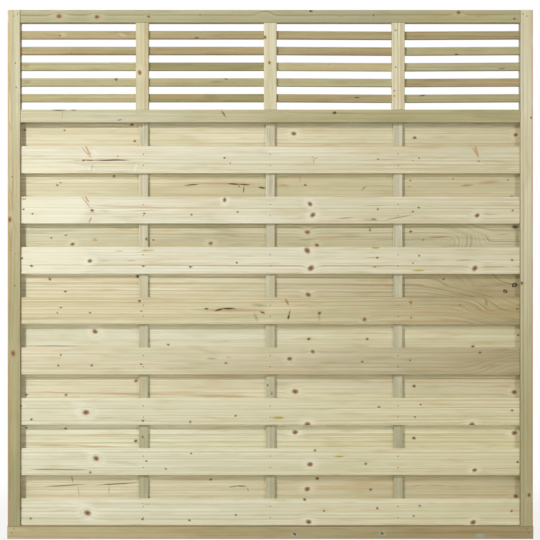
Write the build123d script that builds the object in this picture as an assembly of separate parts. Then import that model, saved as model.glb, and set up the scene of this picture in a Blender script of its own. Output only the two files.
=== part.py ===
from build123d import *
from math import atan2, degrees
import os

# A hit and miss fence panel with an open slatted top, in a jointed and grooved timber frame.
# Millimetres. X runs across the panel, Y from the front face to the back, Z up.
# The origin is under the middle of the bottom rail, halfway through its depth.

# Frame
panel_width = 1800.0      # across the bottom rail
base_overhang = 1.5       # bottom rail past the outer face of each stile
frame_width = 44.0        # face width of the stiles and rails
frame_depth = 44.0        # stiles, rails and muntins from front to back
frame_arris = 3.0         # rounding of their long edges
groove_depth = 12.0       # groove for the boards in the stiles and under the middle rail

# Joints
fit = 0.3                 # play on each side of what sits in a groove, mortise or housing
end_room = 1.0            # room past the end of what sits there
tenon_thickness = 14.0    # tenons from front to back
tenon_shoulder = 7.0      # shoulder on the side away from the groove
tenon_cover = 14.0        # timber left beyond a long tenon
stub_length = 15.0        # stub tenons at the ends of the muntins

# Slatted top
trellis_opening = 297.0   # clear height between the middle and top rails
bay_count = 4             # bays side by side, also between the battens of the field
muntin_width = 44.0
slat_rows = 5
slat_height = 27.0
slat_thickness = 28.0
slat_arris = 2.0
slat_housing = 10.0       # depth of the housings that hold the slat ends
housing_drop = 2.0        # the right-hand muntin's housings are this much low

# Boarded field
board_rows = 16           # front and back boards by turns, counted from the bottom
board_width = 92.5
board_thickness = 10.0
board_arris = 2.0
row_pitch = 86.2          # from one row to the next, so that rows overlap
base_gap = 0.5            # under the lowest board
top_room = 7.0            # groove left empty over the highest board
batten_width = 30.0
batten_thickness = 10.0
batten_arris = 1.0
last_batten_shift = 3.0   # the right-hand batten stands this much to the right

# Nails through the boards into the battens, and pins through the frame joints
nail_fit = 0.05           # play round a nail or pin
nail_shank = 2.0
nail_head = 3.6
nail_head_height = 1.0    # the head tapers into the shank over this
nail_edge = 27.0          # nails from the long edges of a board
nail_cover = 2.0          # batten left beyond a nail's point
pin_shank = 2.6
pin_head = 4.0
pin_head_height = 1.2
pin_cover = 8.0           # timber left beyond a pin's point
pin_edge = 7.0            # first pin from the end and the shoulder edge of its tenon
pin_spread = 13.0         # between the two pins of a joint, along the tenon
pin_step = 7.0            # between the two pins of a joint, across the tenon

# Lines that the pieces share
groove_width = 2 * board_thickness + batten_thickness + 2 * fit
front_face = -frame_depth / 2
back_face = frame_depth / 2
field_bottom = frame_width
field_opening = base_gap + (board_rows - 1) * row_pitch + board_width - (groove_depth - top_room)
mid_bottom = field_bottom + field_opening
mid_top = mid_bottom + frame_width
top_bottom = mid_top + trellis_opening
panel_height = top_bottom + frame_width
stile_outer = panel_width / 2 - base_overhang
stile_inner = stile_outer - frame_width
stile_middle = (stile_outer + stile_inner) / 2
rail_length = 2 * stile_inner
tenon_length = frame_width - tenon_cover
tenon_width = frame_width - groove_depth - tenon_shoulder
tenon_offset = (groove_depth - tenon_shoulder) / 2
bay_width = (rail_length - (bay_count - 1) * muntin_width) / bay_count
batten_bay = (rail_length - (bay_count - 1) * batten_width) / bay_count
slat_gap = (trellis_opening - slat_rows * slat_height) / (slat_rows + 1)
nail_length = board_thickness + batten_thickness - nail_cover
pin_length = frame_depth - pin_cover


def bar(size, middle, along, radius):
    # a planed bar with its long edges rounded
    square = Box(*size)
    return Pos(*middle) * fillet(square.edges().filter_by(along), radius)


def block(size, middle):
    return Pos(*middle) * Box(*size)


def spike(spot, way, length, shank, head, head_height, play=0.0):
    # a nail with its head's face at spot, pointing back for way 1 and forward for way -1
    upright = (Align.CENTER, Align.CENTER, Align.MIN)
    cap = Cone(head / 2 + play, shank / 2 + play, head_height, align=upright)
    body = Cylinder(shank / 2 + play, length - head_height + play, align=upright)
    return Pos(*spot) * Rot(-90 * way, 0, 0) * (cap + Pos(0, 0, head_height) * body)


def board_nail(spot, way, play=0.0):
    return spike(spot, way, nail_length, nail_shank, nail_head, nail_head_height, play)


def frame_pin(spot, way, play=0.0):
    return spike(spot, way, pin_length, pin_shank, pin_head, pin_head_height, play)


def muntin_middle(index):
    return -stile_inner + (index + 1) * bay_width + (index + 0.5) * muntin_width


def batten_middle(index):
    shift = last_batten_shift if index == bay_count - 2 else 0.0
    return -stile_inner + (index + 1) * batten_bay + (index + 0.5) * batten_width + shift


def slat_middle(row):
    # rows are counted from the top
    return top_bottom - (row + 1) * slat_gap - (row + 0.5) * slat_height


def board_bottom(row):
    return field_bottom + base_gap + row * row_pitch


def board_way(row):
    # boards in even rows are in front and their nails point back
    return 1 if row % 2 == 0 else -1


def nail_spots(row):
    # the nails of one board, two at each batten
    face = -board_way(row) * (batten_thickness / 2 + board_thickness)
    low = board_bottom(row) + nail_edge
    high = board_bottom(row) + board_width - nail_edge
    return [(batten_middle(i), face, z) for i in range(bay_count - 1) for z in (low, high)]


def rail_pins(side, rail_bottom, face):
    # the two pins of a rail's tenon, on a slant, measured from its end and its shoulder edge
    far = stile_inner + tenon_length - pin_edge
    high = rail_bottom + frame_width - tenon_shoulder - pin_edge
    return [(side * far, face, high - pin_step), (side * (far - pin_spread), face, high)]


def foot_pins(side):
    # the same for the tenon at a stile's foot
    low = field_bottom - tenon_length + pin_edge
    outer = stile_outer - tenon_shoulder - pin_edge
    return [(side * outer, front_face, low), (side * (outer - pin_step), front_face, low + pin_spread)]


def rail_tenon_height(rail_bottom):
    return rail_bottom + frame_width / 2 + tenon_offset


def foot_tenon_middle(side):
    return side * (stile_middle + tenon_offset)


def joint_pins(side):
    # every pin of one stile with the way it points, top and foot from the front, middle from the back
    front = rail_pins(side, top_bottom, front_face) + foot_pins(side)
    back = rail_pins(side, mid_bottom, back_face)
    return [(spot, 1) for spot in front] + [(spot, -1) for spot in back]


def pin_holes(sides):
    return [frame_pin(spot, way, nail_fit) for side in sides for spot, way in joint_pins(side)]


def seat_drop(upright):
    # uprights are counted from the left stile, and the last muntin's housings are low
    return housing_drop if upright == bay_count - 1 else 0.0


def slat_housings(upright, face, way):
    # the housings in one face of an upright, which go in from the face along way
    size = (slat_housing, slat_thickness + 2 * fit, slat_height + 2 * fit)
    x = face + way * slat_housing / 2
    return [block(size, (x, 0, slat_middle(row) - seat_drop(upright))) for row in range(slat_rows)]


def rail_tenon(side, rail_bottom, play=0.0, room=0.0):
    size = (tenon_length + room, tenon_thickness + 2 * play, tenon_width + 2 * play)
    x = side * (stile_inner + (tenon_length + room) / 2)
    return block(size, (x, 0, rail_tenon_height(rail_bottom)))


def foot_tenon(side, play=0.0, room=0.0):
    size = (tenon_width + 2 * play, tenon_thickness + 2 * play, tenon_length + room)
    return block(size, (foot_tenon_middle(side), 0, field_bottom - (tenon_length + room) / 2))


def stub_tenon(index, shoulder, way, play=0.0, room=0.0):
    # way is 1 for a stub that goes up from its shoulder and -1 for one that goes down
    size = (tenon_width + 2 * play, tenon_thickness + 2 * play, stub_length + room)
    return block(size, (muntin_middle(index), 0, shoulder + way * (stub_length + room) / 2))


def stile(side):
    size = (frame_width, frame_depth, panel_height - field_bottom)
    body = bar(size, (side * stile_middle, 0, (panel_height + field_bottom) / 2), Axis.Z, frame_arris)
    groove_height = field_opening + groove_depth
    groove_x = side * (stile_inner + groove_depth / 2)
    cuts = [block((groove_depth, groove_width, groove_height), (groove_x, 0, field_bottom + groove_height / 2))]
    cuts += [rail_tenon(side, rail, fit, end_room) for rail in (mid_bottom, top_bottom)]
    cuts += slat_housings(0 if side < 0 else bay_count, side * stile_inner, side)
    return body + foot_tenon(side) - cuts - pin_holes([side])


def rail(bottom):
    body = bar((rail_length, frame_depth, frame_width), (0, 0, bottom + frame_width / 2), Axis.X, frame_arris)
    return body + [rail_tenon(side, bottom) for side in (-1, 1)] - pin_holes((-1, 1))


def top_rail():
    stubs = [stub_tenon(i, top_bottom, 1, fit, end_room) for i in range(bay_count - 1)]
    return rail(top_bottom) - stubs


def mid_rail():
    stubs = [stub_tenon(i, mid_top, -1, fit, end_room) for i in range(bay_count - 1)]
    groove = block((rail_length, groove_width, groove_depth), (0, 0, mid_bottom + groove_depth / 2))
    return rail(mid_bottom) - stubs - groove


def bottom_rail():
    body = bar((panel_width, frame_depth, frame_width), (0, 0, frame_width / 2), Axis.X, frame_arris)
    return body - [foot_tenon(side, fit, end_room) for side in (-1, 1)] - pin_holes((-1, 1))


def muntin(index):
    x = muntin_middle(index)
    size = (muntin_width, frame_depth, trellis_opening)
    body = bar(size, (x, 0, mid_top + trellis_opening / 2), Axis.Z, frame_arris)
    stubs = [stub_tenon(index, top_bottom, 1), stub_tenon(index, mid_top, -1)]
    left = slat_housings(index + 1, x - muntin_width / 2, 1)
    right = slat_housings(index + 1, x + muntin_width / 2, -1)
    return body + stubs - left - right


def slat(bay, row):
    # a slat leans where its two housings differ in height
    x = -stile_inner + bay * (bay_width + muntin_width) + bay_width / 2
    left_z = slat_middle(row) - seat_drop(bay)
    right_z = slat_middle(row) - seat_drop(bay + 1)
    length = bay_width + 2 * (slat_housing - end_room)
    lean = degrees(atan2(right_z - left_z, bay_width + slat_housing))
    body = bar((length, slat_thickness, slat_height), (0, 0, 0), Axis.X, slat_arris)
    return Pos(x, 0, (left_z + right_z) / 2) * Rot(0, -lean, 0) * body


def batten(index):
    height = field_opening + groove_depth - end_room
    size = (batten_width, batten_thickness, height)
    body = bar(size, (batten_middle(index), 0, field_bottom + height / 2), Axis.Z, batten_arris)
    holes = [
        board_nail(spot, board_way(row), nail_fit)
        for row in range(board_rows)
        for spot in nail_spots(row)[2 * index : 2 * index + 2]
    ]
    return body - holes


def board(row):
    length = rail_length + 2 * (groove_depth - end_room)
    y = -board_way(row) * (batten_thickness + board_thickness) / 2
    z = board_bottom(row) + board_width / 2
    body = bar((length, board_thickness, board_width), (0, y, z), Axis.X, board_arris)
    return body - [board_nail(spot, board_way(row), nail_fit) for spot in nail_spots(row)]


def board_nails(first_row):
    rows = range(first_row, board_rows, 2)
    return Compound(children=[board_nail(spot, board_way(row)) for row in rows for spot in nail_spots(row)])


def frame_pins():
    return Compound(children=[frame_pin(spot, way) for side in (-1, 1) for spot, way in joint_pins(side)])


pieces = {
    "left_stile": stile(-1),
    "right_stile": stile(1),
    "top_rail": top_rail(),
    "mid_rail": mid_rail(),
    "bottom_rail": bottom_rail(),
    "front_board_nails": board_nails(0),
    "back_board_nails": board_nails(1),
    "frame_pins": frame_pins(),
}
for index in range(bay_count - 1):
    pieces[f"muntin_{index + 1}"] = muntin(index)
    pieces[f"batten_{index + 1}"] = batten(index)
for bay in range(bay_count):
    for row in range(slat_rows):
        pieces[f"slat_bay{bay + 1}_row{row + 1}"] = slat(bay, row)
for row in range(board_rows):
    # boards are numbered from the top of the panel
    side_name = "front" if board_way(row) > 0 else "back"
    pieces[f"{side_name}_board_{(board_rows - row + 1) // 2}"] = board(row)

os.makedirs("parts", exist_ok=True)
for name, piece in pieces.items():
    export_step(piece, f"parts/{name}.step")
print(f"{len(pieces)} nodes, {panel_width:.0f} x {frame_depth:.0f} x {panel_height:.0f} mm")
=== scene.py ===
import bpy
import random
from math import atan2, hypot, pi, radians
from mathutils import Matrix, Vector


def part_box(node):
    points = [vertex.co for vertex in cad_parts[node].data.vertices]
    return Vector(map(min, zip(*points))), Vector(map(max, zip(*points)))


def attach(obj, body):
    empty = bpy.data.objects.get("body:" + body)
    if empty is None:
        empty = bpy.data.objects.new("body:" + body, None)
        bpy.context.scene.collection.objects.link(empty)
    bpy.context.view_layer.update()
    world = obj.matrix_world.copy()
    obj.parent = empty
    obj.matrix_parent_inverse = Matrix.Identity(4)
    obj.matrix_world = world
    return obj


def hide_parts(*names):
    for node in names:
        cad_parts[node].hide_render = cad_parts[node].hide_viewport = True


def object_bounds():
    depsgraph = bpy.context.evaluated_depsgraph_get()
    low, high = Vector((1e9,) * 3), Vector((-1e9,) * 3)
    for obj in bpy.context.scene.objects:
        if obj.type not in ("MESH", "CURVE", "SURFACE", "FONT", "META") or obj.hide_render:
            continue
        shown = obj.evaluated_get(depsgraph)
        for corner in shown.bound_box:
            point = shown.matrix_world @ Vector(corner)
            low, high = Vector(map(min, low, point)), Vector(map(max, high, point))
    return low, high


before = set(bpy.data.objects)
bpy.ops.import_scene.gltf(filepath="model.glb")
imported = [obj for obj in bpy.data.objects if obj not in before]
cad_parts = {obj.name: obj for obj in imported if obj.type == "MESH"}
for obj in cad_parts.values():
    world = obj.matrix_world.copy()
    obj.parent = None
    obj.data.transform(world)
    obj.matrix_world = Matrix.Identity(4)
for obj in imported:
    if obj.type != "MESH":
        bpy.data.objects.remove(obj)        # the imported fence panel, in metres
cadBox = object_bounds()
print("panel loaded:", len(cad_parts), "nodes")

# Where a point of the photograph lies on the panel: photo pixels to metres
photo = dict(middle=270.0, foot=538.87, pixel=1.8 / 526.0)   # the bottom rail's length over its pixels
view = dict(away=7.0, lens=136.4, sensor=36.0, aside=-0.001)
view["eye"] = (photo["foot"] - photo["middle"]) * photo["pixel"]
behind = dict(frame=0.0, slat=0.008, front=0.007, batten=0.017, back=0.027)   # faces behind the frame's front


def onPanel(px, py, layer):
    reach = photo["pixel"] * (1 + behind[layer] / view["away"])
    return view["aside"] + (px - photo["middle"]) * reach, view["eye"] + (photo["middle"] - py) * reach


def tint(red, green, blue):
    # colours are picked as screen values from 0 to 255
    steps = [c / 255 for c in (red, green, blue)]
    return tuple(c / 12.92 if c < 0.04045 else ((c + 0.055) / 1.055) ** 2.4 for c in steps) + (1.0,)


class Wire:
    # a shader socket that takes part in sums, with one method for every other node
    def __init__(self, tree, socket=None):
        self.tree = tree
        self.socket = socket

    def node(self, kind, settings=None, values=None, out=0):
        made = self.tree.nodes.new("ShaderNode" + kind)
        for name, value in (settings or {}).items():
            setattr(made, name, value)
        for name, value in (values or {}).items():
            if isinstance(value, Wire):
                self.tree.links.new(value.socket, made.inputs[name])
            else:
                made.inputs[name].default_value = value
        if isinstance(out, (list, tuple)):
            return [Wire(self.tree, made.outputs[o]) for o in out]
        return Wire(self.tree, made.outputs[out]) if made.outputs else None

    def math(self, operation, *others):
        return self.node("Math", {"operation": operation}, dict(enumerate((self,) + others)))

    def __add__(self, other):
        return self.math("ADD", other)

    def __radd__(self, other):
        return self.math("ADD", other)

    def __sub__(self, other):
        return self.math("SUBTRACT", other)

    def __rsub__(self, other):
        return self.node("Math", {"operation": "SUBTRACT"}, {0: other, 1: self})

    def __mul__(self, other):
        return self.math("MULTIPLY", other)

    def __rmul__(self, other):
        return self.math("MULTIPLY", other)

    def __truediv__(self, other):
        return self.math("DIVIDE", other)

    def __rtruediv__(self, other):
        return self.node("Math", {"operation": "DIVIDE"}, {0: other, 1: self})

    def __pow__(self, other):
        return self.math("POWER", other)

    def __rpow__(self, other):
        return self.node("Math", {"operation": "POWER"}, {0: other, 1: self})


def ramp(wire, low, high):
    # 0 below low and 1 above high, or the other way round where low is the larger
    sides = {"Value": wire, "From Min": low, "From Max": high, "To Min": 0.0, "To Max": 1.0}
    if low > high:
        sides.update({"From Min": high, "From Max": low, "To Min": 1.0, "To Max": 0.0})
    return wire.node("MapRange", {"interpolation_type": "SMOOTHSTEP"}, sides)


def mixed(factor, first, second):
    return factor.node("Mix", {"data_type": "RGBA"}, {0: factor, 6: first, 7: second}, out=2)


# Finishes of the treated softwood: early and late wood, the tinge that lies over it in patches, how far apart the rings
# are in metres, and its share of the warm tone where that isn't the usual one
finishes = {
    "cream": dict(early=tint(243, 241, 221), late=tint(200, 183, 132), tinge=tint(227, 224, 196), gap=0.0105),
    "pale": dict(early=tint(237, 231, 203), late=tint(192, 170, 116), tinge=tint(218, 212, 178), gap=0.0105),
    "lime": dict(early=tint(246, 244, 221), late=tint(198, 184, 130), tinge=tint(229, 226, 194), gap=0.0105, warm=0.12),
    "honey": dict(early=tint(243, 237, 203), late=tint(194, 173, 114), tinge=tint(222, 215, 171), gap=0.0105,
                  warm=0.15),
    "straw": dict(early=tint(224, 216, 181), late=tint(180, 160, 112), tinge=tint(202, 195, 156), gap=0.0100),
    "tan": dict(early=tint(214, 202, 161), late=tint(168, 145, 98), tinge=tint(192, 182, 138), gap=0.0090),
    "olive": dict(early=tint(197, 188, 145), late=tint(150, 138, 93), tinge=tint(174, 169, 126), gap=0.0080),
    "sage": dict(early=tint(186, 177, 135), late=tint(140, 128, 86), tinge=tint(163, 158, 117), gap=0.0080),
    "grey": dict(early=tint(189, 184, 148), late=tint(146, 140, 101), tinge=tint(168, 166, 130), gap=0.0080),
    "brown": dict(early=tint(188, 174, 132), late=tint(138, 116, 76), tinge=tint(164, 150, 108), gap=0.0080),
    "moss": dict(early=tint(168, 159, 113), late=tint(122, 112, 70), tinge=tint(144, 139, 95), gap=0.0080),
    "striped": dict(early=tint(230, 223, 192), late=tint(158, 154, 120), tinge=tint(208, 203, 171), gap=0.0095),
    "weathered": dict(early=tint(216, 208, 174), late=tint(150, 143, 108), tinge=tint(194, 187, 150), gap=0.0095),
    "reed": dict(early=tint(226, 221, 196), late=tint(152, 146, 112), tinge=tint(204, 199, 170), gap=0.0062),
    "reedGrey": dict(early=tint(201, 197, 164), late=tint(132, 127, 92), tinge=tint(176, 172, 138), gap=0.0062),
    "ash": dict(early=tint(214, 209, 179), late=tint(182, 173, 135), tinge=tint(198, 194, 162), gap=0.0070),
}
# the joint tone is painted shade, laid along the inner edges of the frame where they meet the boards and rails
knotTones = dict(core=tint(134, 94, 58), heart=tint(80, 55, 38), rim=tint(176, 140, 94), joint=tint(112, 98, 66),
                 eye=tint(168, 134, 102), eyeRim=tint(190, 162, 120),
                 black=tint(52, 47, 42), endGrain=tint(166, 146, 98), arris=tint(204, 152, 88))
toneShifts = dict(warm=tint(216, 176, 118), cool=tint(196, 202, 158))
# Marks that run from one point to another, in the order in which they are laid over the grain: they are full at the
# inner share of their half width and end at the outer one
lineMarks = {
    "glow": dict(tone=tint(249, 246, 219), inner=0.86, outer=1.0, strength=0.47),
    "sheen": dict(tone=tint(250, 248, 230), inner=0.1, outer=1.25, strength=0.55),
    "faded": dict(tone=tint(212, 206, 172), inner=0.2, outer=1.3, strength=0.55),
    "frost": dict(tone=tint(182, 194, 184), inner=0.2, outer=1.3, strength=0.75),
    "pale": dict(tone=tint(246, 242, 222), inner=0.1, outer=1.3, strength=0.9),
    "stains": dict(tone=tint(138, 124, 84), inner=0.0, outer=1.3, strength=0.6),
    "streaks": dict(tone=tint(190, 150, 104), inner=0.1, outer=1.25, strength=0.75),
    "spikeEdges": dict(tone=tint(168, 124, 80), inner=0.2, outer=1.2, strength=0.9),
    "spikes": dict(tone=tint(204, 154, 104), inner=0.55, outer=1.1, strength=0.9),
    "bark": dict(tone=tint(64, 50, 38), inner=0.35, outer=1.15, strength=0.95),
    "resin": dict(tone=tint(182, 178, 66), inner=0.5, outer=1.1, strength=1.0),
    "amber": dict(tone=tint(206, 164, 78), inner=0.3, outer=1.2, strength=0.9),
    "shakes": dict(tone=tint(136, 82, 48), inner=0.5, outer=1.2, strength=1.0),
}
# How a knot is built up: where its rim, its edge and its heart begin and are full, as shares of its half width, and
# how strongly they show
knotLooks = dict(
    small=dict(rim=(2.1, 1.0), rimShare=0.5, rimTone=knotTones["rim"], edge=(1.15, 0.6), edgeShare=1.0,
               heart=(0.9, 0.2), heartShare=0.6, core=knotTones["core"]),
    eye=dict(rim=(1.6, 1.0), rimShare=0.7, rimTone=knotTones["eyeRim"], edge=(1.12, 0.82), edgeShare=0.95,
             heart=(0.85, 0.1), heartShare=0.9, core=knotTones["eye"]),
)
# Knots from eyeFrom millimetres up are eyes with a halo, laps are the rings that close round the largest
knotShape = dict(eyeFrom=9, eyeLarger=1.2, longer=1.3, turned=0.4, halo=(5.0, 1.4), haloShare=0.6,
                 laps=5.0, lapWaver=1.6, lapLine=(0.22, 0.5), lapOuter=(1.05, 0.75), lapInner=(0.36, 0.5),
                 lapShare=0.75, blackEdge=(1.35, 1.0), blackRing=(0.4, 0.8), blackMiddle=0.45)
# Growth rings, in metres: how far beside and behind the face their pith lies, how they stray, waver and differ, and
# the shares of a ring at which its late wood begins, is full and ends
growth = dict(side=(0.06, 0.10), depth=(0.03, 0.06), lean=0.006, wander=(0.8, 0.8, 1.0), wanderBy=0.016,
              waver=(7, 22, 2.0), waverBy=0.0032, unevenWaves=70, unevenBy=0.012, firstRing=50,
              lateRise=(0.4, 0.92), lateFall=(0.94, 1.0), weakest=0.2, driftBy=0.3)
bows = dict(small=(0.004, 0.25), eyes=(0.011, 0.16), swirls=(0.012, 0.5), spikes=(0.006, 0.4))   # rings bow round marks
# Noise over the timber: waves to the metre along and across it, and detail
grainWaves = dict(broad=(0.9, 18, 1.0), streak=(0.9, 260, 2.0), blotch=(4, 14, 2.0), patch=(7, 60, 2.0),
                  fibre=(14, 700, 2.0), warm=(2.2, 70, 2.0), cool=(2.2, 40, 2.0))
noiseLook = dict(rough=0.55, farthest=90)
# Veils over the rings, in the order in which they are laid: where they begin and are full, their share and their tone
veils = dict(
    broad=dict(cover=(0.42, 0.68), share=0.5, tone="tinge"),
    blotch=dict(cover=(0.45, 0.7), share=0.5, tone="tinge"),
    patch=dict(cover=(0.5, 0.78), share=0.4, tone="late"),
    warm=dict(cover=(0.5, 0.75), share=0.3, tone="warm"),
    cool=dict(cover=(0.5, 0.75), share=0.25, tone="cool"),
    streak=dict(cover=(0.5, 0.72), share=0.4, tone="late"),
)
# Outlines that aren't drawn with a ruler: waves along and across, and how far they stray in metres
outlines = dict(ragged=(140, 220, 0.0016), torn=(130, 130, 0.0045), bent=(16, 16, 0.0022))
# Millimetres to the metre, how lines fade, how deep a mark is drawn, and where it ends and is full behind the face
marking = dict(perMetre=1000.0, lineFade=1.4, through=10.0, depth=(0.009, 0.004), broken=0.15, crackDepth=2.0)
surface = dict(darkest=0.9, fibreShade=0.2, lateHeight=0.4, fibreHeight=0.6, bump=0.35, bumpDepth=0.0005,
               rough=0.58, fibreRough=0.22, specular=0.35)
# the joint band is painted shade along the inner edges of the frame, where the joints lie in shade
edgeLooks = dict(sawn=(0.7, 0.9), sawnShare=0.55, arris=(0.0165, 0.0200), arrisWaves=(9, 30, 1.0), arrisGaps=(0.3, 0.5),
                 arrisShare=0.7, joint=(0.0188, 0.0208), jointShare=0.6)


def blankMaterial(name):
    material = bpy.data.materials.new(name)
    material.use_nodes = True
    material.node_tree.nodes.clear()
    return material, Wire(material.node_tree)


def nearestMark(place, spots):
    # the distance to the nearest mark, 1 at its edge: each is (across, up, half length, half width, slope)
    nearest = None
    for across, up, halfLength, halfWidth, slope in spots:
        local = place.node("Mapping", {"vector_type": "TEXTURE"}, {
            "Vector": place, "Location": (across, 0, up), "Rotation": (0, -slope, 0),
            "Scale": (halfLength, marking["through"], halfWidth)})
        reach = local.node("VectorMath", {"operation": "LENGTH"}, {0: local}, out="Value")
        nearest = reach if nearest is None else nearest.math("MINIMUM", reach)
    return nearest


def timber(name, along, layer, middle, face, seed, piece):
    # one length of planed and treated softwood with its own grain, knots and marks
    wood = finishes[piece["finish"]]
    material, start = blankMaterial(name)
    draw = random.Random(seed)
    place = start.node("TexCoord", out="Object")
    facing = start.node("TexCoord", out="Normal")

    def noise(lengthwise, crosswise, detail, out="Fac"):
        size = (lengthwise, crosswise, crosswise) if along == "x" else (crosswise, crosswise, lengthwise)
        shift = draw.uniform(0, noiseLook["farthest"])
        grid = place.node("VectorMath", {"operation": "MULTIPLY_ADD"}, {
            0: place, 1: size, 2: (shift, 2 * shift, shift)})
        return place.node("TexNoise", {}, {
            "Vector": grid, "Scale": 1.0, "Detail": detail, "Roughness": noiseLook["rough"]}, out=out)

    def moved(lengthwise, crosswise, most):
        tremble = noise(lengthwise, crosswise, 1.0, out="Color")
        shift = place.node("VectorMath", {"operation": "MULTIPLY_ADD"}, {
            0: tremble, 1: (2 * most, 0, 2 * most), 2: (-most, 0, -most)})
        return place.node("VectorMath", {"operation": "ADD"}, {0: place, 1: shift})

    ragged, torn, bent = (moved(*outlines[kind]) for kind in ("ragged", "torn", "bent"))

    def dots(kind, least=0, most=1000):
        spots = []
        for px, py, width, *slope in piece.get(kind, ()):
            if least <= width < most:
                across, up = onPanel(px, py, layer)
                half = width / marking["perMetre"] / 2 * (knotShape["eyeLarger"] if least else 1.0)
                longer = half * knotShape["longer"]
                size = (longer, half) if along == "x" else (half, longer)
                turned = slope[0] if slope else draw.uniform(-knotShape["turned"], knotShape["turned"])
                spots.append((across, up) + size + (turned,))
        return nearestMark(torn if kind == "blackKnots" else ragged, spots)

    def lines(kind):
        spots = []
        for px, py, endX, endY, width in piece.get(kind, ()):
            nearX, nearY = onPanel(px, py, layer)
            farX, farY = onPanel(endX, endY, layer)
            half = hypot(farX - nearX, farY - nearY) / 2
            slope = atan2(farY - nearY, farX - nearX)
            halfWidth = width / marking["perMetre"] / marking["lineFade"]   # wider, because lines fade at their sides
            spots.append(((nearX + farX) / 2, (nearY + farY) / 2, half, halfWidth, slope))
        return nearestMark(bent, spots)

    small, eyes = dots("knots", most=knotShape["eyeFrom"]), dots("knots", least=knotShape["eyeFrom"])
    swirls, black, rounds = dots("swirls"), dots("blackKnots"), dots("rounds")
    fields = {kind: lines(kind) for kind in lineMarks}

    # growth rings round a pith that lies beside the face, in front of it or behind it; noise lies round 0.5
    x, y, z = place.node("SeparateXYZ", {}, {0: place}, out=(0, 1, 2))
    length, width = (x, z) if along == "x" else (z, x)
    side = draw.choice((-1, 1)) * draw.uniform(*growth["side"])
    depth = draw.choice((-1, 1)) * draw.uniform(*growth["depth"])
    lean = draw.uniform(-growth["lean"], growth["lean"])
    wander, waver = noise(*growth["wander"]), noise(*growth["waver"])
    wavy = piece.get("wavy", 1.0)
    across = width - (middle + side) + (wander - 0.5) * (growth["wanderBy"] * wavy)
    into = y - depth + length * lean
    rings = (across * across + into * into) ** 0.5 + (waver - 0.5) * (growth["waverBy"] * wavy)
    for kind, field in dict(small=small, eyes=eyes, swirls=swirls, spikes=fields["spikes"]).items():
        push, fade = bows[kind]
        if field:
            rings = rings + (field * field * -fade).math("EXPONENT") * push
    for px, py, endX, endY, size, slant, count in piece.get("feathers", ()):
        # a stretch where the rings run out of the face as a row of chevrons
        (nearX, nearY), (farX, farY) = onPanel(px, py, layer), onPanel(endX, endY, layer)
        local = bent.node("Mapping", {"vector_type": "TEXTURE"}, {
            "Vector": bent, "Location": ((nearX + farX) / 2, 0, (nearY + farY) / 2),
            "Scale": ((farX - nearX) / 2, marking["through"], size / marking["perMetre"] / 2)})
        alongX, acrossZ = local.node("SeparateXYZ", {}, {0: local}, out=(0, 2))
        rings = rings + ramp(alongX + acrossZ.math("ABSOLUTE") * slant, -1, 1) * (count * wood["gap"])
    uneven = rings.node("TexNoise", {"noise_dimensions": "1D"}, {
        "W": rings * growth["unevenWaves"] + draw.uniform(0, noiseLook["farthest"]), "Detail": 0.0}, out="Fac")
    turn = (rings + (uneven - 0.5) * growth["unevenBy"]) / wood["gap"] + draw.uniform(0, growth["firstRing"])
    number = turn.math("FLOOR")
    part = turn - number
    late = ramp(part, *growth["lateRise"]) - ramp(part, *growth["lateFall"])
    strong = number.node("TexWhiteNoise", {"noise_dimensions": "1D"}, {"W": number}, out="Value")

    # colours of the grain
    tones = {tone: wood[tone] for tone in ("early", "late", "tinge")}
    if "driftWithShade" in piece:
        # the colour changes slowly from one end to the other, partly as the timber's own change and partly as painted
        #         # shade, mostly darker to the right and downwards where the lamps' light falls off
        other, begins, ends = piece["driftWithShade"]
        way = 0 if along == "x" else 1
        low, high = onPanel(begins, begins, layer)[way], onPanel(ends, ends, layer)[way]
        change = ramp(length + (wander - 0.5) * growth["driftBy"], low, high)
        tones = {tone: mixed(change, wood[tone], finishes[other][tone]) for tone in tones}
    tones.update(toneShifts)
    clouds = {kind: noise(*waves) for kind, waves in grainWaves.items()}
    shown = {kind: ramp(clouds[kind], *look["cover"]) for kind, look in veils.items()}
    fibre = clouds["fibre"]
    colour = mixed(late * (strong * (1 - growth["weakest"]) + growth["weakest"]), tones["early"], tones["late"])
    for kind, look in veils.items():
        colour = mixed(shown[kind] * wood.get(kind, look["share"]), colour, tones[look["tone"]])
    dim = piece.get("dim", 1.0)
    shade = fibre * (surface["fibreShade"] * dim) + surface["darkest"] * dim
    colour = colour.node("VectorMath", {"operation": "SCALE"}, {0: colour, "Scale": shade})
    height = late * surface["lateHeight"] + fibre * surface["fibreHeight"]

    # marks, most of which are on the front face and don't reach through the timber
    deepest, full = marking["depth"]
    shallow = ramp(y, face + deepest, face + full)
    if eyes:
        colour = mixed(ramp(eyes, *knotShape["halo"]) * knotShape["haloShare"], colour, tones["early"])
    for kind, look in lineMarks.items():
        if fields[kind]:
            mask = ramp(fields[kind], look["outer"], look["inner"]) * shallow * look["strength"]
            broken = (1 - marking["broken"]) + marking["broken"] * shown["streak"]
            colour = mixed(mask * broken, colour, look["tone"])
            if kind in ("shakes", "bark"):
                height = height - mask * marking["crackDepth"]
    if rounds:
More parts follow.
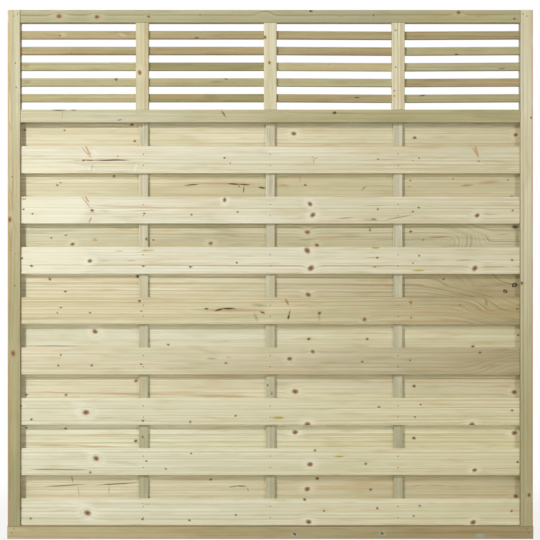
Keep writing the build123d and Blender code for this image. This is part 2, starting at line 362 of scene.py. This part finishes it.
        # the rings close round a large knot
        lap = (rounds * knotShape["laps"] + waver * knotShape["lapWaver"]).math("FRACT") - 0.5
        reach = ramp(rounds, *knotShape["lapOuter"]) * ramp(rounds, *knotShape["lapInner"])
        closed = ramp(lap.math("ABSOLUTE"), *knotShape["lapLine"]) * reach
        colour = mixed(closed * knotShape["lapShare"], colour, tones["late"])
    for knots, look in ((small, knotLooks["small"]), (eyes, knotLooks["eye"])):
        if knots:
            colour = mixed(ramp(knots, *look["rim"]) * look["rimShare"], colour, look["rimTone"])
            inside = mixed(ramp(knots, *look["heart"]) * look["heartShare"], look["core"], knotTones["heart"])
            colour = mixed(ramp(knots, *look["edge"]) * look["edgeShare"], colour, inside)
    if black:
        middleShare = knotShape["blackMiddle"]
        hollow = middleShare + (1 - middleShare) * ramp(black, *knotShape["blackRing"])
        colour = mixed(ramp(black, *knotShape["blackEdge"]) * hollow * shallow, colour, knotTones["black"])

    # sawn ends and, on the frame, rounded outer edges are darker, and the inner edges that meet the boards and rails
    # carry a painted shade line
    sideX, sideZ = facing.node("SeparateXYZ", {}, {0: facing}, out=(0, 2))
    sawn = ramp((sideX if along == "x" else sideZ).math("ABSOLUTE"), *edgeLooks["sawn"])
    colour = mixed(sawn * edgeLooks["sawnShare"], colour, knotTones["endGrain"])
    for way in piece.get("arrises", ()):
        gaps = ramp(noise(*edgeLooks["arrisWaves"]), *edgeLooks["arrisGaps"])
        rim = ramp((width - middle) * way, *edgeLooks["arris"]) * gaps * shallow
        colour = mixed(rim * edgeLooks["arrisShare"], colour, knotTones["arris"])
    # painted shade: a dark line along the inner edge of each stile and the top of the bottom rail, where the joint lies
    # in shade
    for way in piece.get("joints", ()):
        rim = ramp((width - middle) * way, *edgeLooks["joint"])
        colour = mixed(rim * edgeLooks["jointShare"], colour, knotTones["joint"])

    bump = height.node("Bump", {}, {
        "Strength": surface["bump"], "Distance": surface["bumpDepth"], "Height": height}, out="Normal")
    shell = start.node("BsdfPrincipled", {}, {
        "Base Color": colour, "Roughness": surface["rough"] + fibre * surface["fibreRough"], "Normal": bump,
        "Specular IOR Level": surface["specular"]})
    start.node("OutputMaterial", {}, {"Surface": shell})
    return material


# What the photo shows on each piece, in its pixels with widths in millimetres: knots are (x, y, width) and, where it
# # can be seen, their turn. The other marks run from one point to another and end with their width, and feathers with
# # their width, slant and number of rings. A piece may change to another finish from one pixel to another, partly as
# # the timber's own change of colour and partly as painted shade, mostly darker to the right and downwards
frontBoards = [
    dict(finish="cream", driftWithShade=("pale", 150, 480),
         knots=[(83.6, 160.4, 6), (224.5, 157.9, 5), (230.2, 163.3, 4), (378, 159.3, 4), (412.8, 160.2, 3),
                (419.1, 158.5, 4), (478.8, 161.2, 4)],
         spikes=[(84.7, 145.0, 91.8, 158.4, 6), (474.6, 144.0, 478.9, 158.8, 7.5)],
         spikeEdges=[(80.4, 146.2, 91, 158.4, 3), (471.4, 146.4, 477.7, 155.8, 3), (311, 156.2, 314, 158.9, 3),
                     (314, 158.9, 317.5, 157.8, 3), (314, 158.6, 313, 163, 3)],
         streaks=[(70, 160.4, 84, 160.4, 3), (93.2, 163, 91, 172.5, 4), (467, 160.6, 514, 161.8, 3),
                  (358, 160.2, 413, 158.8, 3)], glow=[(-20, 168, 90, 168, 34)],
         pale=[(92.3, 150, 97, 154, 7), (86, 167.5, 95, 170.5, 9), (136.9, 163.5, 134, 173, 5)],
         bark=[(117.3, 156.2, 118.9, 156.2, 4)],
         shakes=[(83, 160.3, 95, 160.3, 2.8), (91.5, 160.2, 131, 160.2, 3.8)]),
    dict(finish="cream", driftWithShade=("pale", 150, 480),
         knots=[(23.5, 209.4, 5), (32.5, 213.8, 5), (92.2, 210.4, 8), (144.3, 213.5, 5), (191.5, 214.7, 5),
                (224.6, 199.8, 9, 1.4), (237.7, 212.1, 5), (310, 204, 10, -0.8), (312.8, 215, 11, 0.7),
                (377.8, 209, 5), (412.8, 211.7, 5), (418.7, 207.7, 5), (477.1, 215.5, 10, 0.7), (512.7, 210.4, 5)],
         spikes=[(84.2, 195.6, 89.5, 203, 6)],
         spikeEdges=[(80.4, 195.4, 91.6, 209, 3), (91.8, 216.7, 88.4, 223.4, 5), (380.7, 220.7, 415.1, 214.4, 3.5),
                     (359, 219.8, 381, 220.5, 3), (335, 218.4, 356, 217.6, 4)],
         streaks=[(95, 205.8, 180, 208, 3), (97.6, 210.5, 112.5, 210.9, 3), (122.8, 211, 166.5, 209.8, 3),
                  (359, 206.2, 392, 205, 3), (479, 214.5, 500, 214.5, 3)], glow=[(-40, 209, 90.5, 209, 130)],
         bark=[(370.2, 219.0, 377.5, 219.3, 3.5)], resin=[(21.6, 199, 26.5, 199, 6)]),
    dict(finish="cream", driftWithShade=("pale", 150, 480),
         knots=[(22.2, 258.2, 5), (31.6, 265.8, 7), (89.9, 260.9, 9, 0.1), (143.3, 266, 6), (190.6, 267, 6),
                (236.8, 262.8, 5), (307.2, 250.5, 13, -0.8), (310.9, 268.1, 13, 0.6), (377.2, 257.7, 6),
                (419.1, 255.7, 5), (413, 263.2, 4), (374.9, 267, 4), (474.8, 268.3, 12, 0.8), (512.1, 260, 6)],
         streaks=[(95.3, 260.9, 112.5, 260.4, 3), (125, 260.5, 137, 260.5, 3), (359, 258, 386, 257.4, 3),
                  (368, 267.2, 387, 266.6, 3), (454, 261.4, 472, 259, 3)], glow=[(-40, 261, 94.5, 261, 130)],
         pale=[(502, 266.5, 519, 267.3, 3)],
         amber=[(113.8, 251.1, 124.4, 251.1, 3), (146, 250, 155, 250, 3.5), (372, 247.9, 379, 247.7, 3),
                (414, 270.5, 423, 270.6, 2.5)],
         resin=[(141, 250.4, 150, 250.2, 5), (370.5, 247.7, 381, 247.7, 7), (411, 270.4, 426, 270.5, 5)]),
    dict(finish="straw", driftWithShade=("brown", 230, 560), dim=1.06,
         knots=[(139.5, 301, 7), (57.4, 312.9, 4), (60.8, 307.5, 5), (90.1, 312.9, 5), (141.4, 311.1, 4),
                (262.7, 312.6, 6), (319.5, 313.2, 8), (364.4, 319.4, 9, 1.1), (410.8, 302.6, 5), (411.1, 317.8, 4),
                (459.9, 304.7, 4), (517.3, 309.2, 6)],
         spikeEdges=[(285, 298.5, 288.6, 306, 7), (485.4, 297.5, 487, 306.5, 8), (290.2, 309.5, 288.6, 316, 5)],
         bark=[(204, 308.4, 209, 308.8, 5), (214, 311, 224, 308.6, 6), (221, 308.4, 236, 308.6, 6),
               (259, 311.6, 265.5, 313.6, 5), (288.9, 314.5, 288, 319.8, 7)],
         streaks=[(196, 309.5, 266, 310.5, 12), (318, 311, 320, 322, 8), (284, 297.5, 288.6, 306, 8),
                  (410.3, 297, 411.4, 307, 11), (361.5, 316.5, 367.5, 322.5, 14), (480, 311.5, 505, 309, 6),
                  (512, 307.5, 521, 310, 8)], stains=[(250, 304.5, 268, 306, 9), (254, 312.5, 258, 322, 9)],
         faded=[(261, 317, 288, 318, 11)], feathers=[(440, 311, 516, 311, 92, -0.5, 5)]),
    dict(finish="pale", driftWithShade=("brown", 60, 680),
         knots=[(60.8, 354.9, 5), (58.3, 365.4, 5), (91.8, 365.4, 6), (141, 364.3, 5), (225.9, 363.1, 6),
                (289.6, 358.8, 10, 0.1), (312.8, 351.7, 9, -0.4), (362.3, 361.7, 6), (410.2, 360.3, 5),
                (480, 352.6, 7)], stains=[(205, 358.2, 218, 358.8, 7), (226, 356, 231, 358, 4)],
         feathers=[(455, 362, 520, 362, 92, -0.4, 4)]),
    dict(finish="lime", driftWithShade=("honey", 150, 480),
         knots=[(86.1, 412.4, 13), (21.2, 405.8, 5), (31.6, 419.3, 6), (142.9, 420.7, 6), (190.3, 421.8, 6),
                (235.7, 415.7, 5), (307.4, 424.4, 12), (378.9, 407, 6), (420.6, 404.5, 5), (414.9, 416.9, 5),
                (471.9, 424.6, 11), (512.1, 410.4, 6)],
         sheen=[(66, 402, 91, 404.5, 16), (70, 411, 101, 413.5, 34), (20, 404, 27, 407, 10)],
         rounds=[(87.2, 411.6, 46, 0.1)], amber=[(275, 417.6, 283, 417.2, 4)], resin=[(271, 417.7, 285, 417.7, 8)]),
    dict(finish="lime", driftWithShade=("honey", 150, 480),
         knots=[(96.2, 458.4, 12, -0.35), (90.4, 472.3, 6), (146.4, 461.1, 5), (165.9, 468.9, 5), (191.1, 453.4, 5),
                (310, 464.3, 11), (314.9, 450.4, 6), (365.7, 463.7, 6), (474.6, 470, 9), (517.6, 462, 6)],
         sheen=[(80, 449.5, 102, 453.5, 14), (92, 459.5, 105, 463, 16)], rounds=[(97, 459, 38, -0.3)],
         amber=[(335, 456.2, 343.5, 456.2, 3)], resin=[(333, 456.5, 345, 456.5, 5)],
         shakes=[(30, 469.6, 60, 469.4, 1.8), (50, 469.3, 91, 470.2, 2)]),
    dict(finish="lime", driftWithShade=("honey", 150, 480),
         knots=[(21, 508.2, 5), (30.8, 518.5, 6), (87.5, 512.8, 13), (142.6, 519.1, 6), (189.5, 520.2, 6),
                (235.9, 515, 5), (304.6, 499.3, 8), (308.6, 521.9, 11), (324.1, 511, 5), (377.2, 508.2, 6),
                (419.7, 505.6, 5), (413.7, 515.9, 5), (473.1, 522.3, 11, 0.5), (511.5, 511, 6)],
         sheen=[(66, 501, 93, 507, 18), (78, 512, 98, 514.5, 28)], rounds=[(86.4, 512.3, 38, 0.1)],
         amber=[(143, 504.4, 151, 504.8, 2.4)], bark=[(141.8, 503.8, 143.2, 503.8, 2)]),
]
backBoards = [
    dict(finish="pale", driftWithShade=("tan", 200, 800),
         knots=[(24.7, 130.1, 6), (64.6, 130.5, 5), (132, 124.6, 8), (134.9, 141.1, 6), (293.7, 133.7, 10),
                (414.6, 137.8, 8), (515.6, 134.8, 9)]),
    dict(finish="pale", driftWithShade=("straw", 80, 190), dim=0.98,
         knots=[(57.4, 185.3, 5), (60.8, 182.8, 4), (114.2, 175.9, 6), (305.1, 185.1, 6), (410.2, 180.5, 5),
                (409.6, 186.8, 3), (453.2, 179.1, 4), (508, 180, 4)],
         spikeEdges=[(361, 191, 366.5, 185.3, 5), (458.7, 186, 475, 184.4, 6)],
         streaks=[(366, 185.2, 393, 186.2, 3), (477, 183, 502, 181.5, 10), (184, 183, 266, 184.5, 9),
                  (278, 185, 290, 186, 8), (299, 176, 301, 183, 5)],
         bark=[(184, 185.4, 200, 184.4, 4), (227, 183.6, 240, 184.6, 4.5), (238, 184.6, 251, 185, 4),
               (258, 187, 266, 188.5, 6), (244, 186, 243.5, 193.5, 4), (238, 185, 240, 188, 3),
               (509, 196.3, 513.5, 196.3, 3)]),
    dict(finish="striped", driftWithShade=("weathered", 60, 260),
         knots=[(51.3, 237.9, 5), (65.8, 235.3, 5), (72.6, 244.2, 9), (153.5, 239.9, 5), (210.7, 243.4, 9),
                (307.4, 232.2, 11), (316.8, 245.1, 9), (370.1, 230.2, 6), (410.5, 231.6, 7)],
         spikeEdges=[(422.3, 241.8, 424.5, 237.6, 5), (424.3, 238, 451.8, 236.2, 5)],
         spikes=[(91.5, 240.2, 98, 240.2, 6)],
         streaks=[(495, 234.6, 511, 234.3, 4), (226, 235.0, 242, 236.6, 3.5), (318, 239, 346, 236.8, 3.5)],
         faded=[(238, 233, 260, 229.5, 7)],
         stains=[(180, 238.4, 206, 238.2, 2.5), (204, 238.2, 232, 239, 2.5), (517, 229, 517.6, 247, 8),
                 (296, 240.5, 318, 238.6, 4)], bark=[(511, 226.5, 519, 227.5, 12)],
         feathers=[(448, 235.5, 500, 235.5, 70, 0.45, 9)]),
    dict(finish="pale", driftWithShade=("brown", 100, 620),
         knots=[(49.9, 279.2, 7), (65.4, 291.3, 6), (137.8, 276.4, 8), (308.2, 294.7, 11), (443.6, 279.2, 6)],
         streaks=[(368, 286, 374, 286, 4), (383, 286.2, 390, 286, 4), (479, 291.9, 502, 291.6, 4)],
         blackKnots=[(514.4, 285, 13), (505.2, 291.6, 10)], feathers=[(410, 286, 516, 286, 80, -0.4, 8)]),
    dict(finish="lime", driftWithShade=("honey", 150, 480), dim=0.92,
         knots=[(95.1, 331.6, 11), (168.2, 344.8, 6), (308.8, 339, 8), (367.1, 339, 7), (472.7, 346.5, 8),
                (518.2, 335.2, 5)], shakes=[(26, 346, 79, 346, 1.8)], rounds=[(95.8, 332.8, 36, -0.4)]),
    dict(finish="pale", driftWithShade=("straw", 250, 560),
         knots=[(26.6, 394.9, 6), (66, 394.9, 6), (136, 380.9, 8), (295.1, 391.5, 12), (414, 386.1, 8),
                (514.2, 392.1, 11)],
         streaks=[(24, 391.6, 90, 393.4, 4), (60, 393.2, 200, 394.6, 5), (170, 394.8, 268, 397.2, 7)]),
    dict(finish="lime", driftWithShade=("honey", 150, 480),
         knots=[(26.2, 427.8, 6), (65.8, 428.4, 6), (135.8, 441, 8), (295.1, 432.2, 11), (414, 438.1, 8),
                (514.4, 433, 11)], streaks=[(5, 445, 95, 445.2, 6), (60, 445.5, 126, 447, 5)]),
    dict(finish="pale", driftWithShade=("tan", 200, 620),
         knots=[(210.8, 479.5, 6), (317.2, 478.5, 8), (307.2, 489, 11), (370.7, 489.6, 7), (515.6, 496.1, 10)],
         streaks=[(408, 486.5, 424, 484.6, 3.2), (423, 484.6, 448, 486, 3), (447, 486, 461, 487, 3)],
         spikeEdges=[(71, 475.5, 73.6, 483.5, 5)], stains=[(78, 486, 79.5, 497, 3), (109.4, 485.5, 109, 494.5, 4)],
         bark=[(228, 487.4, 238, 485.7, 2.4), (235, 485.6, 247, 486.1, 3), (247.6, 487, 248.8, 491.5, 2)],
         shakes=[(43, 486.8, 87, 484.3, 2.4), (95, 485.3, 139, 482.4, 2.8)]),
]
slats = [
    [dict(finish="brown", knots=[(59.9, 35.4, 5)], swirls=[(120.5, 34.4, 14)],
          faded=[(59, 35, 67, 34, 12), (118, 32.5, 127, 37, 8)]),
     dict(finish="brown", knots=[(71.4, 53.4, 4)]),
     dict(finish="olive", swirls=[(114.8, 64.3, 12)], stains=[(21, 66, 31, 66, 14)]),
     dict(finish="olive", blackKnots=[(116.3, 79.6, 8)], stains=[(21, 82, 32, 82, 14)]),
     dict(finish="olive")],
    [dict(finish="brown", bark=[(194, 38, 199, 37.8, 4)]),
     dict(finish="brown", knots=[(206.6, 53.4, 3)]),
     dict(finish="moss"),
     dict(finish="olive", frost=[(221, 79, 230, 79.6, 5)], stains=[(207, 82.5, 226, 81.5, 7)],
          bark=[(223.5, 78.6, 228.5, 79.8, 4)]),
     dict(finish="moss", stains=[(200, 97, 222, 97, 16)])],
    [dict(finish="brown"),
     dict(finish="brown", stains=[(282, 54, 388, 53.5, 9)]),
     dict(finish="tan", knots=[(329.2, 64.3, 3)]),
     dict(finish="olive"),
     dict(finish="brown", bark=[(354, 98, 360, 97.3, 4)])],
    [dict(finish="brown"),
     dict(finish="olive", bark=[(454, 54, 459, 54.4, 4)]),
     dict(finish="olive", frost=[(404, 69.2, 466, 69.0, 6), (470, 69.0, 508, 68.6, 6)],
          bark=[(497, 68.8, 506, 68.4, 2.5)]),
     dict(finish="brown"),
     dict(finish="olive", bark=[(419, 96.5, 426, 94.3, 4)])],
]
frameTimbers = dict(
    left_stile=dict(along="z", finish="weathered", driftWithShade=("sage", 110, 330), arrises=(-1,), joints=(1,), wavy=2.5,
                    streaks=[(8.6, 120, 11.5, 132, 5), (9.3, 184, 13.5, 210, 4), (8.8, 196, 10.2, 216, 5),
                             (9, 60, 10, 100, 4), (8.8, 225, 10.5, 262, 5), (11, 214, 18, 238, 4)],
                    knots=[(15.5, 63.1, 4), (16.1, 87.5, 4), (12.3, 176.8, 4), (15.3, 254, 3), (14.7, 285.6, 5),
                           (9.4, 219.5, 13, 0), (13.2, 353.4, 14, 0.2)]),
    right_stile=dict(along="z", finish="pale", driftWithShade=("olive", 120, 440), arrises=(1,), joints=(-1,),
                     knots=[(531, 117.7, 5), (521.9, 283.3, 8), (529, 495, 10)]),
    top_rail=dict(along="x", finish="grey", driftWithShade=("olive", 370, 440), swirls=[(265, 13, 30)],
                  knots=[(59.1, 16.3, 13, 0.1), (97, 17, 12, 0.1), (148.7, 16.6, 8), (200.1, 15.3, 4),
                         (373.4, 15.5, 5), (458.5, 12.6, 10), (514.4, 18.9, 7)], blackKnots=[(311.4, 11.1, 7)],
                  streaks=[(338, 16, 344, 16, 8), (474, 16, 482, 16, 8)]),
    mid_rail=dict(along="x", finish="ash", driftWithShade=("olive", 90, 380), swirls=[(278, 116, 36), (466.8, 117, 16)],
                  blackKnots=[(334.4, 113.1, 8)], stains=[(63, 109.5, 61.8, 122, 2.5)],
                  frost=[(115.5, 120.6, 126, 118.8, 5)],
                  bark=[(50.5, 110.0, 67, 110.0, 6), (70, 109.8, 77, 109.9, 4), (117, 120.4, 122, 119.6, 3),
                        (222, 111, 225.3, 116, 3)], spikeEdges=[(220.5, 109.5, 226.5, 118.5, 6)]),
    bottom_rail=dict(along="x", finish="tan", driftWithShade=("brown", -50, 520), joints=(1,),
                     frost=[(290, 534.3, 299.5, 534.3, 11), (377.5, 533.4, 387, 533.4, 12),
                            (474.5, 535.5, 485.5, 535.5, 12)], blackKnots=[(294.5, 534.3, 7), (382.2, 533.4, 8)]),
)
muntins = [
    dict(finish="straw", knots=[(139.8, 72.6, 10, 0.2)]),
    dict(finish="pale", knots=[(265, 37.3, 8), (269.5, 62.8, 7)]),
    dict(finish="pale", knots=[(395.4, 30.4, 4), (395.6, 67.2, 4), (394.4, 90.7, 4), (394.4, 95.9, 4)]),
]
battens = [
    dict(finish="reed", driftWithShade=("reedGrey", 140, 450), knots=[(141.4, 126.3, 5), (146.4, 239.1, 7), (142.7, 437, 6)]),
    dict(finish="reed", driftWithShade=("reedGrey", 120, 620), knots=[(267.8, 385.2, 5), (271.6, 393.6, 5)]),
    dict(finish="reed", driftWithShade=("reedGrey", 170, 580)),
]

# Splits in the faces and torn edges, taken out of copies of their CAD nodes. They run from one photo point to
# another and end with their width and depth in millimetres; top and foot are the edges of the front face
splits = {
    "front_board_1": dict(layer="front", slot="front_board_timber", face=[(83, 160.3, 131, 160.2, 4.6, 6)]),
    "front_board_4": dict(layer="front", slot="front_board_timber",
                          face=[(204, 308.4, 209.5, 308.8, 3.5, 3), (213, 311.4, 224, 308.6, 4, 4),
                                (221, 308.4, 237, 308.8, 4.5, 5), (289.4, 311, 288, 319.6, 4, 4)],
                          foot=[(190, 194.4, 5, 3)]),
    "front_board_7": dict(layer="front", slot="front_board_timber", face=[(32, 469.7, 90, 469.7, 2, 3)]),
    "back_board_2": dict(layer="back", slot="back_board_timber",
                         face=[(184, 185.4, 200, 184.4, 3, 4), (227, 183.6, 240, 184.6, 3.2, 4),
                               (238, 184.7, 251, 185, 2.8, 4), (258, 187, 266, 188.5, 4, 4)]),
    "back_board_5": dict(layer="back", slot="back_board_timber", face=[(26, 346, 79, 346, 1.8, 3)]),
    "back_board_8": dict(layer="back", slot="back_board_timber",
                         face=[(46, 486.6, 86, 484.4, 2.4, 4), (96, 485.2, 138.5, 482.5, 3.2, 5),
                               (228.5, 487.3, 238, 485.7, 3, 4), (235.5, 485.6, 247, 486.1, 3.4, 4)]),
    "slat_bay2_row1": dict(layer="slat", slot="slat_timber", face=[(194, 38, 199, 37.8, 3, 3)]),
    "slat_bay2_row4": dict(layer="slat", slot="slat_timber", top=[(222.5, 228.5, 7, 5)]),
    "slat_bay3_row5": dict(layer="slat", slot="slat_timber", face=[(354, 98, 360, 97.3, 3, 3)]),
    "slat_bay4_row2": dict(layer="slat", slot="slat_timber", foot=[(453.5, 459.5, 6, 4)]),
    "slat_bay4_row3": dict(layer="slat", slot="slat_timber",
                           foot=[(406, 440, 6, 2.2), (430, 478, 7, 2.6), (470, 509, 6, 2.2)]),
    "slat_bay4_row5": dict(layer="slat", slot="slat_timber", face=[(419, 96.5, 426, 94.3, 3.5, 4)]),
    "mid_rail": dict(layer="frame", slot="frame_timber", top=[(50.5, 67, 7, 3), (63, 76, 5, 2.4)]),
}
wedge = dict(stations=10, inner=0.3, tip=0.08, swell=(0.65, 1.05), sway=0.3, edgeLean=pi / 4,
             mergeWithin=1e-6, smoothUnder=radians(30))
seeds = dict(front=100, back=200, slat=300, bay=10, frame=400, muntin=500, batten=600, split=700)


def choose(thing):
    bpy.ops.object.select_all(action="DESELECT")
    thing.select_set(True)
    bpy.context.view_layer.objects.active = thing


def pick(thing, kind, test):
    # leaves the thing in edit mode with those vertices or edges selected whose ends all pass the test
    bpy.ops.object.mode_set(mode="EDIT")
    bpy.ops.mesh.select_mode(type=kind)
    bpy.ops.mesh.select_all(action="DESELECT")
    bpy.ops.object.mode_set(mode="OBJECT")
    mesh = thing.data
    for part in mesh.vertices if kind == "VERT" else mesh.edges:
        part.select = test(part.co) if kind == "VERT" else test(*(mesh.vertices[v].co for v in part.vertices))
    bpy.ops.object.mode_set(mode="EDIT")


def splitTool(length, width, depth, draw):
    # a long ragged wedge, pointed at both ends and narrower inside the timber
    stations = wedge["stations"]
    bpy.ops.object.select_all(action="DESELECT")
    bpy.ops.mesh.primitive_cube_add(size=1.0)
    tool = bpy.context.object
    tool.scale = (length, 2 * depth, width)
    bpy.ops.object.transform_apply(location=False, rotation=False, scale=True)
    pick(tool, "EDGE", lambda a, b: abs(a.x - b.x) > length / 2)
    bpy.ops.mesh.subdivide(number_cuts=stations - 1)
    pick(tool, "VERT", lambda co: co.y > 0)
    bpy.ops.transform.resize(value=(1, 1, wedge["inner"]), center_override=(0, 0, 0))
    for number in range(stations + 1):
        share = 2 * number / stations - 1
        x = share * length / 2
        swell = max(wedge["tip"], (1 - share * share) ** 0.5 * draw.uniform(*wedge["swell"]))
        pick(tool, "VERT", lambda co: abs(co.x - x) < length / stations / 4)
        bpy.ops.transform.resize(value=(1, swell, swell), center_override=(x, 0, 0))
        bpy.ops.transform.translate(value=(0, 0, draw.uniform(-wedge["sway"], wedge["sway"]) * width))
    bpy.ops.object.mode_set(mode="OBJECT")
    return tool


def carve(node, split, draw):
    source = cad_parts[node]
    piece = bpy.data.objects.new(node + "_worn", source.data.copy())
    bpy.context.scene.collection.objects.link(piece)
    choose(piece)
    bpy.ops.mesh.customdata_custom_splitnormals_clear()
    bpy.ops.object.mode_set(mode="EDIT")
    bpy.ops.mesh.select_all(action="SELECT")
    bpy.ops.mesh.remove_doubles(threshold=wedge["mergeWithin"])
    bpy.ops.object.mode_set(mode="OBJECT")
    low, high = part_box(node)
    cuts = []
    for px, py, endX, endY, width, depth in split.get("face", ()):
        near, far = onPanel(px, py, split["layer"]), onPanel(endX, endY, split["layer"])
        cuts.append((near, far, width, depth, 0.0))
    for edge, height, lean in (("top", high[2], -wedge["edgeLean"]), ("foot", low[2], wedge["edgeLean"])):
        for px, endX, width, depth in split.get(edge, ()):
            near, far = onPanel(px, 0, split["layer"])[0], onPanel(endX, 0, split["layer"])[0]
            cuts.append(((near, height), (far, height), width, depth, lean))
    for (nearX, nearZ), (farX, farZ), width, depth, lean in cuts:
        length = hypot(farX - nearX, farZ - nearZ)
        tool = splitTool(length, width / marking["perMetre"], depth / marking["perMetre"], draw)
        tool.location = ((nearX + farX) / 2, low[1], (nearZ + farZ) / 2)
        tool.rotation_euler = (lean, -atan2(farZ - nearZ, farX - nearX), 0)
        gap = piece.modifiers.new("split", "BOOLEAN")
        gap.operation, gap.solver, gap.object = "DIFFERENCE", "EXACT", tool
        bpy.context.view_layer.objects.active = piece
        bpy.ops.object.modifier_apply(modifier="split")
        bpy.data.objects.remove(tool)
    choose(piece)
    bpy.ops.object.shade_smooth_by_angle(angle=wedge["smoothUnder"])
    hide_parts(node)
    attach(piece, "root")
    return piece


worn = {}
for number, (node, split) in enumerate(splits.items(), seeds["split"]):
    worn[node] = carve(node, split, random.Random(number))
print("split timbers modelled:", len(worn))


def finishNode(node, along, layer, seed, piece):
    low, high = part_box(node)
    way = 2 if along == "x" else 0
    mesh = worn.get(node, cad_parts[node]).data
    mesh.materials.clear()
    mesh.materials.append(timber(node + "_wood", along, layer, (low[way] + high[way]) / 2, low[1], seed, piece))


for number, piece in enumerate(frontBoards, 1):
    finishNode(f"front_board_{number}", "x", "front", seeds["front"] + number, piece)
for number, piece in enumerate(backBoards, 1):
    finishNode(f"back_board_{number}", "x", "back", seeds["back"] + number, piece)
for bay, column in enumerate(slats, 1):
    for row, piece in enumerate(column, 1):
        finishNode(f"slat_bay{bay}_row{row}", "x", "slat", seeds["slat"] + seeds["bay"] * bay + row, piece)
for number, (node, piece) in enumerate(frameTimbers.items()):
    finishNode(node, piece["along"], "frame", seeds["frame"] + number, piece)
for number, piece in enumerate(muntins, 1):
    finishNode(f"muntin_{number}", "z", "frame", seeds["muntin"] + number, piece)
for number, piece in enumerate(battens, 1):
    finishNode(f"batten_{number}", "z", "batten", seeds["batten"] + number, piece)
print("timber finished")

# Galvanised wire nails, dulled by the treatment
nails = dict(nodes=("front_board_nails", "back_board_nails", "frame_pins"), dark=tint(74, 66, 72),
             light=tint(120, 110, 112), spotWaves=900.0, spotEdge=(0.35, 0.65), rough=0.4, spotRough=0.3, metal=0.6)


def nailSteel():
    material, start = blankMaterial("nail_steel")
    place = start.node("TexCoord", out="Object")
    spots = place.node("TexNoise", {}, {"Vector": place, "Scale": nails["spotWaves"], "Detail": 2.0}, out="Fac")
    colour = mixed(ramp(spots, *nails["spotEdge"]), nails["dark"], nails["light"])
    shell = start.node("BsdfPrincipled", {}, {
        "Base Color": colour, "Roughness": nails["rough"] + spots * nails["spotRough"], "Metallic": nails["metal"]})
    start.node("OutputMaterial", {}, {"Surface": shell})
    return material


steel = nailSteel()
for node in nails["nodes"]:
    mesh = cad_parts[node].data
    mesh.materials.clear()
    mesh.materials.append(steel)
print("nails finished")

# Floor, white surroundings, lamps and camera; the floor keeps the shadow near the panel and is white farther off
studio = dict(floorSize=30.0, floorTone=tint(205, 204, 200), floorGlow=0.82, glowFade=(1.0, 2.4), ambient=0.18,
              skyTone=(1.0, 0.95, 0.84, 1.0), white=(1, 1, 1, 1))
lamps = [
    dict(name="keyLamp", place=(-2.9, -3.2, 3.6), target=(0.0, 0.0, 0.7), size=0.40, power=142.0),
    dict(name="lowLamp", place=(-3.0, -3.3, 0.7), target=(0.0, 0.0, 0.8), size=0.7, power=20.0),
    dict(name="fillLamp", place=(3.4, -4.5, 2.4), target=(0.0, 0.0, 0.8), size=0.6, power=62.0),
    dict(name="backLamp", place=(2.6, 4.0, 3.2), target=(0.0, 0.0, 0.8), size=0.8, power=130.0),
    dict(name="backFill", place=(-3.2, 4.4, 1.8), target=(0.0, 0.0, 0.8), size=0.8, power=60.0),
]


def makeFloor():
    bpy.ops.object.select_all(action="DESELECT")
    bpy.ops.mesh.primitive_plane_add(size=studio["floorSize"], location=(0, 0, 0))
    floor = bpy.context.object
    floor.name = "floor"
    material, start = blankMaterial("floor_white")
    seen = start.node("LightPath", out="Is Camera Ray")
    place = start.node("TexCoord", out="Object")
    away = place.node("VectorMath", {"operation": "LENGTH"}, {0: place}, out="Value")
    lit = seen * (studio["floorGlow"] + (1 - studio["floorGlow"]) * ramp(away, *studio["glowFade"]))
    matt = start.node("BsdfDiffuse", {}, {"Color": studio["floorTone"]})
    bright = start.node("Emission", {}, {"Color": studio["white"], "Strength": 1.0})
    blend = start.node("MixShader", {}, {0: lit, 1: matt, 2: bright})
    start.node("OutputMaterial", {}, {"Surface": blend})
    floor.data.materials.append(material)


def makeWorld():
    world = bpy.data.worlds.new("studio")
    bpy.context.scene.world = world
    world.use_nodes = True
    world.node_tree.nodes.clear()
    start = Wire(world.node_tree)
    seen, shiny, through = start.node("LightPath", out=("Is Camera Ray", "Is Glossy Ray", "Is Transmission Ray"))
    direct = seen.math("MAXIMUM", shiny).math("MAXIMUM", through)
    strength = direct * (1 - studio["ambient"]) + studio["ambient"]
    colour = mixed(direct, studio["skyTone"], studio["white"])
    sky = start.node("Background", {}, {"Color": colour, "Strength": strength})
    start.node("OutputWorld", {}, {"Surface": sky})


def aim(thing, target):
    way = Vector(target) - thing.location
    thing.rotation_euler = way.to_track_quat("-Z", "Y").to_euler()


def makeLamps():
    for lamp in lamps:
        bpy.ops.object.light_add(type="AREA", location=lamp["place"])
        light = bpy.context.object
        light.name = lamp["name"]
        light.data.shape = "DISK"
        light.data.size = lamp["size"]
        light.data.energy = lamp["power"]
        aim(light, lamp["target"])


def makeCamera():
    front = cadBox[0][1]
    bpy.ops.object.camera_add(location=(view["aside"], front - view["away"], view["eye"]))
    camera = bpy.context.object
    camera.name = "camera"
    camera.data.lens = view["lens"]
    camera.data.sensor_width = view["sensor"]
    aim(camera, (view["aside"], 0, view["eye"]))
    bpy.context.scene.camera = camera


makeFloor()
makeWorld()
makeLamps()
makeCamera()
bpy.context.scene.view_settings.view_transform = "Standard"
print("studio ready")
